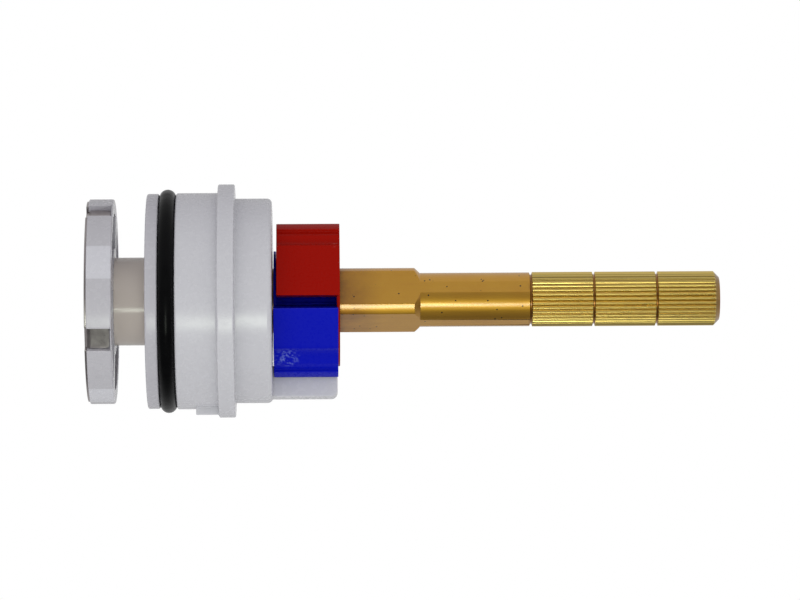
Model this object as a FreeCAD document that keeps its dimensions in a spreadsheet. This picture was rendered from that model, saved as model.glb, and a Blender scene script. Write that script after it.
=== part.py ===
import FreeCAD, Part
import os
import re
import Sketcher

# A rotary mixing cartridge: a brass stem turns a spindle and a ported disc in a white moulded body, and two
# coloured stops on the stem's square set how far it turns before a block on the body holds them.
# Frame: x along the stem towards the handle, z up, origin on the axis at the flange's front face.
# Angles about the axis start at the -y side (towards the eye) and grow towards +z.

SIZES = {
    # white body: barrel, flange and nose
    "barrel_radius": 17.7,
    "barrel_length": 6.85,
    "flange_radius": 19.1,
    "flange_thickness": 2.71,
    "nose_radius": 16.75,
    "nose_length": 6.08,
    "nose_round": 0.8,
    "cavity_radius": 12.9,
    "hub_wall": 1.9,
    "end_wall": 2.3,
    "counterbore_radius": 8.0,
    "counterbore_depth": 1.9,
    "rib_thickness": 1.4,
    "rib_setback": 2.6,
    "rib_root": 0.4,
    "rib_count": 6,
    # key on the barrel and stop block on the nose, both at the bottom
    "key_reach": 18.55,
    "key_width": 8.0,
    "key_length": 3.72,
    "block_radius": 16.2,
    "block_play": 0.3,
    "block_length": 10.58,
    "block_sweep": 31.0,
    "block_round": 1.0,
    # big seal and its gland
    "seal_radius": 18.3,
    "seal_section": 2.72,
    "seat_play": 0.02,
    # lower cap
    "lip_radius": 17.6,
    "lip_thickness": 2.0,
    "spigot_length": 3.4,
    "spigot_wall": 1.6,
    "neck_collar": 1.8,
    # spindle
    "running_play": 0.07,
    "neck_radius": 7.2,
    "neck_showing": 5.35,
    "head_radius": 9.0,
    "head_length": 8.6,
    "journal_radius": 6.6,
    "journal_tip": 0.35,
    "end_float": 0.08,
    "ring_section": 1.7,
    "ring_lift": 0.03,
    "ring_groove": 1.9,
    "ring_land": 0.45,
    "ring_spacing": 2.6,
    "drive_radius": 4.5,
    "drive_flat": 3.6,
    "drive_length": 1.6,
    "drive_key_width": 5.4,
    # thrust washer, clip washer and clip
    "thrust_thickness": 0.5,
    "thrust_radius": 8.8,
    "clip_washer_thickness": 0.5,
    "clip_washer_radius": 7.8,
    "clip_thickness": 0.7,
    "clip_radius": 7.7,
    "clip_bite": 0.55,
    "clip_sweep": 315.0,
    # brass stem
    "stock_radius": 5.28,
    "square_across": 8.6,
    "square_angle": 29.0,
    "square_showing": 12.22,
    "cone_length": 0.91,
    "round_radius": 4.41,
    "round_length": 18.15,
    "stem_engagement": 9.35,
    "broach_radius": 4.47,
    "broach_groove": 0.33,
    "broach_teeth": 36,
    "segment_length": 10.3,
    "segment_count": 3,
    "notch_width": 0.46,
    "notch_depth": 0.42,
    "end_chamfer": 0.95,
    "handle_hole_radius": 1.65,
    "handle_hole_depth": 14.0,
    "pin_radius": 0.8,
    "pin_setback": 1.8,
    "pin_short": 0.15,
    # rotor disc
    "disc_radius": 16.76,
    "disc_thickness": 4.05,
    "disc_round": 0.3,
    "rim_wall": 2.36,
    "disc_hub": 8.7,
    "window_depth": 2.9,
    "window_sweep": 70.4,
    "window_angle": -22.4,
    "window_count": 4,
    "port_inner": 10.2,
    "port_outer": 13.6,
    "port_sweep": 44.0,
    "screw_recess": 1.4,
    "screw_recess_radius": 4.4,
    # stainless face plate and its bent tabs
    "plate_thickness": 0.34,
    "plate_radius": 16.4,
    "plate_hole": 4.7,
    "tab_radius": 15.74,
    "tab_width": 3.6,
    "tab_foot": 2.0,
    "tab_angle": -21.7,
    "tab_spread": 84.8,
    "tab_play": 0.1,
    "tab_end_play": 0.1,
    "notch_wall": 0.25,
    # disc screw and washer
    "screw_radius": 2.0,
    "screw_length": 10.3,
    "screw_head_radius": 3.5,
    "screw_head": 1.0,
    "screw_slot": 0.9,
    "screw_slot_depth": 0.55,
    "screw_washer_radius": 4.1,
    "screw_washer_thickness": 0.4,
    # limit stops
    "stop_gap": 0.22,
    "stop_play": 0.1,
    "stop_base_radius": 8.1,
    "stop_base": 0.4,
    "crown_radius": 7.0,
    "crown_teeth": 24,
    "crown_tooth": 0.45,
    "crown_play": 0.06,
    "crown_setback": 0.3,
    "stop_radius": 12.6,
    "stop_rib_radius": 13.1,
    "stop_rib_sweep": 11.0,
    "stop_end_angle": 73.0,
    "square_play": 0.05,
    "blue_start_angle": 5.5,
    "blue_flat_end": 36.0,
    "blue_rim_play": 0.2,
    "blue_rim_setback": 0.3,
    "blue_scallop": 4.2,
    "blue_scallop_angle": 46.0,
    "red_start_angle": 4.0,
    "red_flat_end": 45.5,
    "red_length": 10.3,
    "red_end": 0.5,
    "red_end_radius": 10.8,
    "red_bore_play": 0.4,
    "red_scallop": 2.0,
    "red_scallop_angle": 51.0,
    "scallop_depth": 0.5,
}

# How far a cutting shape runs past the face that it starts from
PAST = "1"

# Places along x, each worked out from the sizes
FLANGE_BACK = "(0 - flange_thickness)"
BARREL_BACK = f"({FLANGE_BACK} - barrel_length)"
GLAND_WIDTH = "(seal_section + 2 * seat_play)"
GLAND_FLOOR = "(seal_radius - seal_section - seat_play)"
SHELL_BACK = f"({BARREL_BACK} - {GLAND_WIDTH})"
CAP_BACK = f"({SHELL_BACK} - lip_thickness)"
COUNTERBORE_FLOOR = "(nose_length - counterbore_depth)"
WALL_BACK = f"({COUNTERBORE_FLOOR} - end_wall)"
BLOCK_FRONT = "(nose_length + block_length)"
HEAD_FRONT = f"({WALL_BACK} - thrust_thickness - end_float)"
HEAD_BACK = f"({HEAD_FRONT} - head_length)"
HUB_BACK = f"({HEAD_BACK} - end_float)"
DISC_FRONT = f"({CAP_BACK} - neck_showing)"
DISC_BACK = f"({DISC_FRONT} - disc_thickness)"
PLATE_BACK = f"({DISC_BACK} - plate_thickness)"
SPINDLE_BACK = f"({DISC_FRONT} - drive_length)"
CLIP_WASHER_BACK = f"({COUNTERBORE_FLOOR} + end_float)"
CLIP_BACK = f"({CLIP_WASHER_BACK} + clip_washer_thickness + seat_play)"
CLIP_FRONT = f"({CLIP_BACK} + clip_thickness)"
SPINDLE_FRONT = f"({CLIP_FRONT} + seat_play + journal_tip)"
STEM_BACK = f"({SPINDLE_FRONT} - stem_engagement)"
BLUE_BACK = "(nose_length + stop_gap)"
RED_BACK = f"({BLUE_BACK} + stop_base + stop_play)"
RED_FRONT = f"({RED_BACK} + red_length)"
RED_END_BACK = f"({RED_FRONT} - red_end)"
BLUE_FRONT = f"({RED_END_BACK} - stop_play)"
BLUE_RIM_FRONT = f"({RED_FRONT} - blue_rim_setback)"
CROWN_FRONT = f"({RED_FRONT} - crown_setback)"
SQUARE_FRONT = f"({RED_FRONT} + square_showing)"
ROUND_BACK = f"({SQUARE_FRONT} + cone_length)"
BROACH_BACK = f"({ROUND_BACK} + round_length)"
STEM_FRONT = f"({BROACH_BACK} + segment_count * segment_length)"
PIN_PLACE = f"({HEAD_FRONT} - pin_setback)"
SCREW_SEAT = f"({DISC_BACK} + screw_recess)"
SCREW_WASHER_BACK = f"({SCREW_SEAT} - screw_washer_thickness)"

# Radii that two pieces share
NECK_BORE = "(neck_radius + running_play)"
HEAD_BORE = "(head_radius + running_play)"
JOURNAL_BORE = "(journal_radius + running_play)"
HUB_RADIUS = f"({HEAD_BORE} + hub_wall)"
SPIGOT_RADIUS = "(cavity_radius - seat_play)"
RING_RADIUS = f"({HEAD_BORE} - ring_lift)"
RING_FLOOR = f"({RING_RADIUS} - ring_section - seat_play)"
CLIP_FLOOR = "(journal_radius - clip_bite)"
SOCKET_ACROSS = "(square_across + 2 * seat_play)"
PIN_HOLE = "(pin_radius + seat_play)"
SCREW_HOLE = "(screw_radius + seat_play)"
RIM_RADIUS = "(red_end_radius + blue_rim_play)"
NOTCH_FLOOR = "(tab_radius - plate_thickness - tab_play)"

doc = FreeCAD.newDocument("cartridge")
sheet = doc.addObject("Spreadsheet::Sheet", "Sizes")
for row, (name, size) in enumerate(SIZES.items(), start=1):
    sheet.set(f"A{row}", name)
    sheet.set(f"B{row}", str(size))
    sheet.setAlias(f"B{row}", name)
doc.recompute()

ALONG_X = FreeCAD.Rotation(FreeCAD.Vector(0, 1, 0), 90)


def sized(text):
    """The expression with the sheet's name before each size."""
    return re.sub(r"[a-z_]+", lambda word: f"Sizes.{word[0]}" if word[0] in SIZES else word[0], text)


def value(text):
    """What an expression of sizes comes to."""
    return float(sheet.evalExpression(sized(text)))


def facing(angle):
    """A direction about the axis, as the angle that a body's own xy plane gives it."""
    return f"(270 - ({angle}))"


class Piece:
    """A sub-part as a PartDesign body: its own z is the stem's axis and its own origin is its back end."""

    def __init__(self, label, back):
        self.back = back
        self.body = doc.addObject("PartDesign::Body", label)
        self.body.Label = label
        self.body.Placement = FreeCAD.Placement(FreeCAD.Vector(value(back), 0, 0), ALONG_X)
        self.body.setExpression("Placement.Base.x", sized(back))

    def along(self, place):
        return f"({place} - {self.back})"

    def origin(self, role):
        return next(item for item in self.body.Origin.OriginFeatures if item.Role == role)

    def outline(self, name, corners, turn):
        """A closed sketch in the plane of the axis, each corner set by its radius and its place."""
        sketch = self.body.newObject("Sketcher::SketchObject", name)
        sketch.AttachmentSupport = [(self.origin("XZ_Plane"), "")]
        sketch.MapMode = "FlatFace"
        sketch.AttachmentOffset = FreeCAD.Placement(
            FreeCAD.Vector(), FreeCAD.Rotation(FreeCAD.Vector(0, 1, 0), value(turn))
        )
        corners = [(radius, self.along(place)) for radius, place in corners]
        points = [FreeCAD.Vector(value(radius), value(place), 0) for radius, place in corners]
        for point, after in zip(points, points[1:] + points[:1]):
            sketch.addGeometry(Part.LineSegment(point, after))
        for line in range(len(points)):
            after = (line + 1) % len(points)
            sketch.addConstraint(Sketcher.Constraint("Coincident", line, 2, after, 1))
            for kind, axis, text in zip(("DistanceX", "DistanceY"), (-2, -1), corners[line]):
                if abs(value(text)) < 1e-6:
                    sketch.addConstraint(Sketcher.Constraint("PointOnObject", line, 1, axis))
                    continue
                index = sketch.addConstraint(Sketcher.Constraint(kind, -1, 1, line, 1, value(text)))
                sketch.setExpression(f"Constraints[{index}]", sized(text))
        return sketch

    def turned(self, name, corners, sweep="360", turn="0", cut=False):
        """Turns an outline about the axis: all the way, or a sweep centred on an angle."""
        sketch = self.outline(name + "_outline", corners, turn)
        feature = self.body.newObject("PartDesign::Groove" if cut else "PartDesign::Revolution", name)
        feature.Profile = sketch
        feature.ReferenceAxis = (sketch, ["V_Axis"])
        feature.Midplane = value(sweep) < 360
        feature.setExpression("Angle", sized(sweep))
        doc.recompute()
        return feature

    def shaped(self, kind, name, sizes, x="0", y="0", back="0", turn="0"):
        """Adds or cuts a primitive at x, y and a place along the axis, turned about the axis."""
        feature = self.body.newObject("PartDesign::" + kind, name)
        for size, text in sizes.items():
            feature.setExpression(size, sized(text))
        feature.Placement = FreeCAD.Placement(FreeCAD.Vector(), FreeCAD.Rotation(FreeCAD.Vector(0, 0, 1), 1))
        feature.setExpression("Placement.Rotation.Angle", sized(turn))
        feature.setExpression("Placement.Base.x", sized(f"({x}) * cos({turn}) - ({y}) * sin({turn})"))
        feature.setExpression("Placement.Base.y", sized(f"({x}) * sin({turn}) + ({y}) * cos({turn})"))
        feature.setExpression("Placement.Base.z", sized(self.along(back)))
        doc.recompute()
        return feature

    def box(self, kind, name, radii, width, places, turn):
        """A block between two radii and two places, centred on a direction."""
        sizes = {
            "Length": f"({radii[1]}) - ({radii[0]})",
            "Width": width,
            "Height": f"({places[1]}) - ({places[0]})",
        }
        return self.shaped(kind, name, sizes, radii[0], f"0 - ({width}) / 2", places[0], turn)

    def cross_hole(self, name, radius, reach, place, angle):
        """Drills through the axis, along a direction."""
        drill = self.body.newObject("PartDesign::SubtractiveCylinder", name)
        drill.setExpression("Radius", sized(radius))
        drill.setExpression("Height", sized(f"2 * ({reach})"))
        towards = FreeCAD.Rotation(FreeCAD.Vector(0, 0, 1), value(facing(angle)))
        drill.Placement = FreeCAD.Placement(
            towards.multVec(FreeCAD.Vector(-value(reach), 0, value(self.along(place)))),
            towards.multiply(ALONG_X),
        )
        doc.recompute()

    def repeated(self, feature, count):
        """Repeats a feature evenly round the axis."""
        pattern = self.body.newObject("PartDesign::PolarPattern", feature.Name + "_round")
        pattern.Originals = [feature]
        pattern.Axis = (self.origin("Z_Axis"), [""])
        pattern.Angle = 360
        pattern.Occurrences = int(value(count))
        self.body.Tip = pattern
        doc.recompute()

    def rounded(self, name, size, rings):
        """Rounds the circular edges at the given radii and places."""
        tip = self.body.Tip
        wanted = [(value(radius), value(self.along(place))) for radius, place in rings]
        edges = []
        for number, edge in enumerate(tip.Shape.Edges, start=1):
            if not isinstance(edge.Curve, Part.Circle):
                continue
            for radius, place in wanted:
                if abs(edge.Curve.Radius - radius) < 1e-4 and abs(edge.Curve.Center.z - place) < 1e-4:
                    edges.append(f"Edge{number}")
        fillet = self.body.newObject("PartDesign::Fillet", name)
        fillet.Base = (tip, edges)
        fillet.setExpression("Radius", sized(size))
        doc.recompute()


def washer(label, back, inner, outer, thickness):
    """A flat ring about the axis."""
    front = f"({back} + {thickness})"
    piece = Piece(label, back)
    piece.turned(label + "_ring", [(inner, back), (outer, back), (outer, front), (inner, front)])


def o_ring(label, middle, outer, section):
    """A rubber ring about the axis."""
    ring = doc.addObject("Part::Torus", label)
    ring.Label = label
    ring.setExpression("Radius1", sized(f"{outer} - {section} / 2"))
    ring.setExpression("Radius2", sized(f"{section} / 2"))
    ring.Placement = FreeCAD.Placement(FreeCAD.Vector(), ALONG_X)
    ring.setExpression("Placement.Base.x", sized(middle))


def body_shell():
    """Barrel, flange and nose round a bored hub, with ribs inside, a key and a stop block at the bottom."""
    shell = Piece("body_shell", SHELL_BACK)
    shell.turned(
        "walls",
        [
            ("cavity_radius", SHELL_BACK),
            (GLAND_FLOOR, SHELL_BACK),
            (GLAND_FLOOR, BARREL_BACK),
            ("barrel_radius", BARREL_BACK),
            ("barrel_radius", FLANGE_BACK),
            ("flange_radius", FLANGE_BACK),
            ("flange_radius", "0"),
            ("nose_radius", "0"),
            ("nose_radius", "nose_length"),
            ("counterbore_radius", "nose_length"),
            ("counterbore_radius", COUNTERBORE_FLOOR),
            (JOURNAL_BORE, COUNTERBORE_FLOOR),
            (JOURNAL_BORE, WALL_BACK),
            (HEAD_BORE, WALL_BACK),
            (HEAD_BORE, HUB_BACK),
            (HUB_RADIUS, HUB_BACK),
            (HUB_RADIUS, WALL_BACK),
            ("cavity_radius", WALL_BACK),
        ],
    )
    shell.rounded("nose_edge", "nose_round", [("nose_radius", "nose_length")])
    rib = shell.box(
        "AdditiveBox",
        "rib",
        (f"{HUB_RADIUS} - rib_root", "cavity_radius + rib_root"),
        "rib_thickness",
        (f"{HUB_BACK} + rib_setback", WALL_BACK),
        "0",
    )
    shell.repeated(rib, "rib_count")
    shell.box(
        "AdditiveBox",
        "key",
        (GLAND_FLOOR, "key_reach"),
        "key_width",
        (f"{FLANGE_BACK} - key_length", FLANGE_BACK),
        "0",
    )
    inner = "(red_end_radius + block_play)"
    shell.turned(
        "stop_block",
        [
            (inner, "nose_length - nose_round"),
            ("block_radius", "nose_length - nose_round"),
            ("block_radius", BLOCK_FRONT),
            (inner, BLOCK_FRONT),
        ],
        sweep="block_sweep",
    )
    shell.rounded("block_edge", "block_round", [("block_radius", BLOCK_FRONT)])


def lower_cap():
    """Lip behind the big seal, with a spigot in the body and a collar that guides the spindle's neck."""
    cap = Piece("lower_cap", CAP_BACK)
    cap.turned(
        "cap_walls",
        [
            (NECK_BORE, CAP_BACK),
            ("lip_radius", CAP_BACK),
            ("lip_radius", SHELL_BACK),
            (SPIGOT_RADIUS, SHELL_BACK),
            (SPIGOT_RADIUS, f"{SHELL_BACK} + spigot_length"),
            (f"{SPIGOT_RADIUS} - spigot_wall", f"{SHELL_BACK} + spigot_length"),
            (f"{SPIGOT_RADIUS} - spigot_wall", SHELL_BACK),
            (f"{NECK_BORE} + neck_collar", SHELL_BACK),
            (f"{NECK_BORE} + neck_collar", f"{SHELL_BACK} + spigot_length"),
            (NECK_BORE, f"{SHELL_BACK} + spigot_length"),
        ],
    )


def ring_places():
    """The middles of the two small seals' grooves."""
    first = f"({HEAD_BACK} + ring_land + ring_groove / 2)"
    return first, f"({first} + ring_spacing)"


def spindle():
    """Grey spindle: a flatted end in the disc, a neck, a grooved head, and a journal with a square socket."""
    piece = Piece("spindle", SPINDLE_BACK)
    hole = f"({SCREW_SEAT} + screw_length + seat_play)"
    corners = [
        (SCREW_HOLE, SPINDLE_BACK),
        ("drive_radius", SPINDLE_BACK),
        ("drive_radius", DISC_FRONT),
        ("neck_radius", DISC_FRONT),
        ("neck_radius", HEAD_BACK),
        ("head_radius", HEAD_BACK),
    ]
    for middle in ring_places():
        corners += [
            ("head_radius", f"{middle} - ring_groove / 2"),
            (RING_FLOOR, f"{middle} - ring_groove / 2"),
            (RING_FLOOR, f"{middle} + ring_groove / 2"),
            ("head_radius", f"{middle} + ring_groove / 2"),
        ]
    corners += [
        ("head_radius", HEAD_FRONT),
        ("journal_radius", HEAD_FRONT),
        ("journal_radius", f"{CLIP_BACK} - seat_play"),
        (CLIP_FLOOR, f"{CLIP_BACK} - seat_play"),
        (CLIP_FLOOR, f"{CLIP_FRONT} + seat_play"),
        ("journal_radius", f"{CLIP_FRONT} + seat_play"),
        ("journal_radius", SPINDLE_FRONT),
        ("0", SPINDLE_FRONT),
        ("0", hole),
        (SCREW_HOLE, hole),
    ]
    piece.turned("spindle_walls", corners)
    for side in (0, 180):
        piece.box(
            "SubtractiveBox",
            f"drive_flat_{side}",
            ("drive_flat", f"drive_radius + {PAST}"),
            "2 * drive_radius",
            (f"{SPINDLE_BACK} - {PAST}", DISC_FRONT),
            facing(f"square_angle + {side}"),
        )
    piece.box(
        "SubtractiveBox",
        "stem_socket",
        (f"0 - {SOCKET_ACROSS} / 2", f"{SOCKET_ACROSS} / 2"),
        SOCKET_ACROSS,
        (f"{STEM_BACK} - seat_play", f"{SPINDLE_FRONT} + {PAST}"),
        facing("square_angle"),
    )
    piece.cross_hole("pin_hole", PIN_HOLE, f"head_radius + {PAST}", PIN_PLACE, "square_angle")


def stem():
    """Brass bar: four flats on round stock, a cone, a thinner length and a toothed end that snaps shorter."""
    piece = Piece("stem", STEM_BACK)
    corners = [
        ("0", STEM_BACK),
        ("stock_radius", STEM_BACK),
        ("stock_radius", SQUARE_FRONT),
        ("round_radius", ROUND_BACK),
    ]
    before = "round_radius"
    for segment in range(int(value("segment_count"))):
        notch = f"({BROACH_BACK} + {segment} * segment_length)"
        corners += [
            (before, f"{notch} - notch_width / 2"),
            ("broach_radius - notch_depth", notch),
            ("broach_radius", f"{notch} + notch_width / 2"),
        ]
        before = "broach_radius"
    corners += [
        ("broach_radius", f"{STEM_FRONT} - end_chamfer"),
        ("broach_radius - end_chamfer", STEM_FRONT),
        ("handle_hole_radius", STEM_FRONT),
        ("handle_hole_radius", f"{STEM_FRONT} - handle_hole_depth"),
        ("0", f"{STEM_FRONT} - handle_hole_depth - handle_hole_radius / 2"),
    ]
    piece.turned("bar", corners)
    tooth = piece.shaped(
        "SubtractivePrism",
        "broach_tooth",
        {"Circumradius": "broach_groove", "Height": f"{STEM_FRONT} - {BROACH_BACK} + {PAST}"},
        "broach_radius",
        "0",
        BROACH_BACK,
    )
    tooth.Polygon = 4
    doc.recompute()
    piece.repeated(tooth, "broach_teeth")
    for side in (0, 90, 180, 270):
        piece.box(
            "SubtractiveBox",
            f"flat_{side}",
            ("square_across / 2", f"stock_radius + {PAST}"),
            "2 * stock_radius",
            (f"{STEM_BACK} - {PAST}", f"{BROACH_BACK} - notch_width / 2"),
            facing(f"square_angle + {side}"),
        )
    piece.cross_hole("pin_hole_stem", PIN_HOLE, f"stock_radius + {PAST}", PIN_PLACE, "square_angle")


def stem_pin():
    """Steel pin across the spindle and the stem."""
    pin = doc.addObject("Part::Cylinder", "stem_pin")
    pin.Label = "stem_pin"
    pin.setExpression("Radius", sized("pin_radius"))
    pin.setExpression("Height", sized("2 * (head_radius - pin_short)"))
    roll = FreeCAD.Rotation(FreeCAD.Vector(1, 0, 0), 90 - value("square_angle"))
    half = value("head_radius - pin_short")
    pin.Placement = FreeCAD.Placement(roll.multVec(FreeCAD.Vector(0, 0, -half)), roll)
    pin.setExpression("Placement.Base.x", sized(PIN_PLACE))


def tab_angles():
    """The directions of the face plate's four bent tabs."""
    return [f"(tab_angle + {half} + {step} * tab_spread)" for half in (0, 180) for step in (0, 1)]


def port_outline(back, front):
    """The section of a curved water port between two places."""
    return [("port_inner", back), ("port_outer", back), ("port_outer", front), ("port_inner", front)]


def rotor_disc():
    """White disc with four spokes: windows in its front, notches for the tabs, two ports, a screw recess."""
    disc = Piece("rotor_disc", DISC_BACK)
    drive = f"({SPINDLE_BACK} - seat_play)"
    disc.turned(
        "disc_walls",
        [
            ("screw_recess_radius", DISC_BACK),
            ("disc_radius", DISC_BACK),
            ("disc_radius", DISC_FRONT),
            ("drive_radius + seat_play", DISC_FRONT),
            ("drive_radius + seat_play", drive),
            (SCREW_HOLE, drive),
            (SCREW_HOLE, SCREW_SEAT),
            ("screw_recess_radius", SCREW_SEAT),
        ],
    )
    disc.rounded("rim_edge", "disc_round", [("disc_radius", DISC_FRONT)])
    rim = "(disc_radius - rim_wall)"
    floor = f"({DISC_FRONT} - window_depth)"
    mouth = f"({DISC_FRONT} + {PAST})"
    window = disc.turned(
        "window",
        [("disc_hub", floor), (rim, floor), (rim, mouth), ("disc_hub", mouth)],
        sweep="window_sweep",
        turn=facing("window_angle"),
        cut=True,
    )
    disc.repeated(window, "window_count")
    port = disc.turned(
        "port",
        port_outline(f"{DISC_BACK} - {PAST}", f"{DISC_FRONT} + {PAST}"),
        sweep="port_sweep",
        turn=facing("window_angle"),
        cut=True,
    )
    disc.repeated(port, "2")
    for number, angle in enumerate(tab_angles()):
        disc.box(
            "SubtractiveBox",
            f"notch_{number}",
            (NOTCH_FLOOR, f"{NOTCH_FLOOR} + disc_radius"),
            "tab_width + 2 * tab_play",
            (f"{DISC_BACK} - {PAST}", f"{DISC_FRONT} - notch_wall"),
            facing(angle),
        )
    for side in (0, 180):
        disc.box(
            "AdditiveBox",
            f"drive_key_{side}",
            ("drive_flat + seat_play", "(drive_radius + disc_hub) / 2"),
            "drive_key_width",
            (drive, DISC_FRONT),
            facing(f"square_angle + {side}"),
        )


def face_plate():
    """Stainless plate on the back of the disc, held by four tabs bent forward into the notches."""
    plate = Piece("face_plate", PLATE_BACK)
    plate.turned(
        "sheet_round",
        [
            ("plate_hole", PLATE_BACK),
            ("plate_radius", PLATE_BACK),
            ("plate_radius", DISC_BACK),
            ("plate_hole", DISC_BACK),
        ],
    )
    port = plate.turned(
        "plate_port",
        port_outline(f"{PLATE_BACK} - {PAST}", f"{DISC_BACK} + {PAST}"),
        sweep="port_sweep",
        turn=facing("window_angle"),
        cut=True,
    )
    plate.repeated(port, "2")
    for number, angle in enumerate(tab_angles()):
        plate.box(
            "SubtractiveBox",
            f"relief_{number}",
            ("tab_radius", "tab_radius + plate_radius"),
            "tab_width + 2 * tab_play",
            (f"{PLATE_BACK} - {PAST}", f"{DISC_BACK} + {PAST}"),
            facing(angle),
        )
        plate.box(
            "AdditiveBox",
            f"tab_foot_{number}",
            ("tab_radius - tab_foot", "tab_radius"),
            "tab_width",
            (PLATE_BACK, DISC_BACK),
            facing(angle),
        )
        plate.box(
            "AdditiveBox",
            f"tab_{number}",
            ("tab_radius - plate_thickness", "tab_radius"),
            "tab_width",
            (PLATE_BACK, f"{DISC_FRONT} - notch_wall - tab_end_play"),
            facing(angle),
        )


def disc_screw():
    """Screw through the disc into the spindle, with a cross slot."""
    screw = Piece("disc_screw", f"({SCREW_WASHER_BACK} - screw_head)")
    back = screw.back
    tip = f"({SCREW_SEAT} + screw_length)"
    screw.turned(
        "screw_body",
        [
            ("0", back),
            ("screw_head_radius", back),
            ("screw_head_radius", SCREW_WASHER_BACK),
            ("screw_radius", SCREW_WASHER_BACK),
            ("screw_radius", f"{tip} - screw_radius / 2"),
            ("screw_radius / 2", tip),
            ("0", tip),
        ],
    )
    for turn in (0, 90):
        screw.box(
            "SubtractiveBox",
            f"slot_{turn}",
            ("0 - screw_radius", "screw_radius"),
            "screw_slot",
            (f"{back} - {PAST}", f"{back} + screw_slot_depth"),
            facing(f"square_angle + {turn}"),
        )


def retaining_clip():
    """Open ring in the journal's groove."""
    clip = Piece("retaining_clip", CLIP_BACK)
    inner = f"({CLIP_FLOOR} + seat_play)"
    clip.turned(
        "clip_ring",
        [(inner, CLIP_BACK), ("clip_radius", CLIP_BACK), ("clip_radius", CLIP_FRONT), (inner, CLIP_FRONT)],
        sweep="clip_sweep",
    )


def stop_sector(piece, start, side, inner, lands):
    """The stop's curved block, between a start angle and the end angle on one side, and its end rib."""
    middle = f"({side} * ({start} + stop_end_angle) / 2)"
    rib = f"({side} * (stop_end_angle - stop_rib_sweep / 2))"
    back, front = lands[-1]
    for number, (place, end) in enumerate(lands):
        radius = (inner, RIM_RADIUS)[number]
        piece.turned(
            f"sector_{number}",
            [(radius, place), ("stop_radius", place), ("stop_radius", end), (radius, end)],
            sweep=f"stop_end_angle - {start}",
            turn=facing(middle),
        )
    piece.turned(
        "end_rib",
        [(RIM_RADIUS, back), ("stop_rib_radius", back), ("stop_rib_radius", front), (RIM_RADIUS, front)],
        sweep="stop_rib_sweep",
        turn=facing(rib),
    )


def outer_flat(piece, start, end, side, back, front):
    """A flat across the stop's outer face, between two directions on one side."""
    piece.box(
        "SubtractiveBox",
        "outer_flat",
        (f"stop_radius * cos(({end} - {start}) / 2)", f"stop_radius + {PAST}"),
        "2 * stop_radius",
        (f"{back} - {PAST}", f"{front} + {PAST}"),
        facing(f"{side} * ({start} + {end}) / 2"),
    )


def scallop(piece, radius, angle, back, front):
    """A hollow along the stop's outer face."""
    piece.shaped(
        "SubtractiveCylinder",
        "scallop",
        {"Radius": radius, "Height": f"{front} - {back} + 2 * {PAST}"},
        f"stop_radius + {radius} - scallop_depth",
        "0",
        f"{back} - {PAST}",
        facing(angle),
    )


def blue_stop():
    """Cold-side stop: a square-bored, toothed hub on a thin base, with a curved block."""
    piece = Piece("blue_stop", BLUE_BACK)
    base_front = f"({BLUE_BACK} + stop_base)"
    piece.turned(
        "hub",
        [
            ("0", BLUE_BACK),
            ("stop_base_radius", BLUE_BACK),
            ("stop_base_radius", base_front),
            ("crown_radius", base_front),
            ("crown_radius", CROWN_FRONT),
            ("0", CROWN_FRONT),
        ],
    )
    flute = piece.shaped(
        "SubtractiveCylinder",
        "flute",
        {"Radius": "crown_tooth", "Height": f"{CROWN_FRONT} - {base_front} + {PAST}"},
        "crown_radius",
        "0",
        base_front,
    )
    piece.repeated(flute, "crown_teeth")
    stop_sector(
        piece,
        "blue_start_angle",
        "-1",
        "crown_radius - 2 * crown_tooth",
        [(BLUE_BACK, BLUE_FRONT), (BLUE_BACK, BLUE_RIM_FRONT)],
    )
    outer_flat(piece, "blue_start_angle", "blue_flat_end", "-1", BLUE_BACK, BLUE_RIM_FRONT)
    scallop(piece, "blue_scallop", "0 - blue_scallop_angle", BLUE_BACK, BLUE_RIM_FRONT)
    bore = "(square_across + 2 * square_play)"
    piece.box(
        "SubtractiveBox",
        "square_bore",
        (f"0 - {bore} / 2", f"{bore} / 2"),
        bore,
        (f"{BLUE_BACK} - {PAST}", f"{CROWN_FRONT} + {PAST}"),
        facing("square_angle"),
    )


def red_stop():
    """Hot-side stop: a toothed end ring that sits on the blue hub, with a curved block over that hub."""
    piece = Piece("red_stop", RED_BACK)
    bore = "(crown_radius + crown_play)"
    piece.turned(
        "end_ring",
        [
            (bore, RED_END_BACK),
            ("red_end_radius", RED_END_BACK),
            ("red_end_radius", RED_FRONT),
            (bore, RED_FRONT),
        ],
    )
    rib = piece.shaped(
        "AdditiveCylinder",
        "bore_tooth",
        {"Radius": "crown_tooth - crown_play", "Height": "red_end"},
        "crown_radius",
        "0",
        RED_END_BACK,
    )
    piece.repeated(rib, "crown_teeth")
    stop_sector(
        piece,
        "red_start_angle",
        "1",
        "crown_radius + red_bore_play",
        [(RED_BACK, f"{RED_END_BACK} + red_end / 2"), (RED_BACK, RED_FRONT)],
    )
    outer_flat(piece, "red_start_angle", "red_flat_end", "1", RED_BACK, RED_FRONT)
    scallop(piece, "red_scallop", "red_scallop_angle", RED_BACK, RED_FRONT)


body_shell()
lower_cap()
o_ring("body_seal", f"({BARREL_BACK} - {GLAND_WIDTH} / 2)", "seal_radius", "seal_section")
spindle()
for number, place in enumerate(ring_places()):
    o_ring(("spindle_seal_inner", "spindle_seal_outer")[number], place, RING_RADIUS, "ring_section")
thrust_back = f"({HEAD_FRONT} + seat_play)"
washer("thrust_washer", thrust_back, JOURNAL_BORE, "thrust_radius", "thrust_thickness")
washer("clip_washer", CLIP_WASHER_BACK, JOURNAL_BORE, "clip_washer_radius", "clip_washer_thickness")
retaining_clip()
stem()
stem_pin()
rotor_disc()
face_plate()
disc_screw()
washer("screw_washer", SCREW_WASHER_BACK, SCREW_HOLE, "screw_washer_radius", "screw_washer_thickness")
blue_stop()
red_stop()
doc.recompute()

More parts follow.
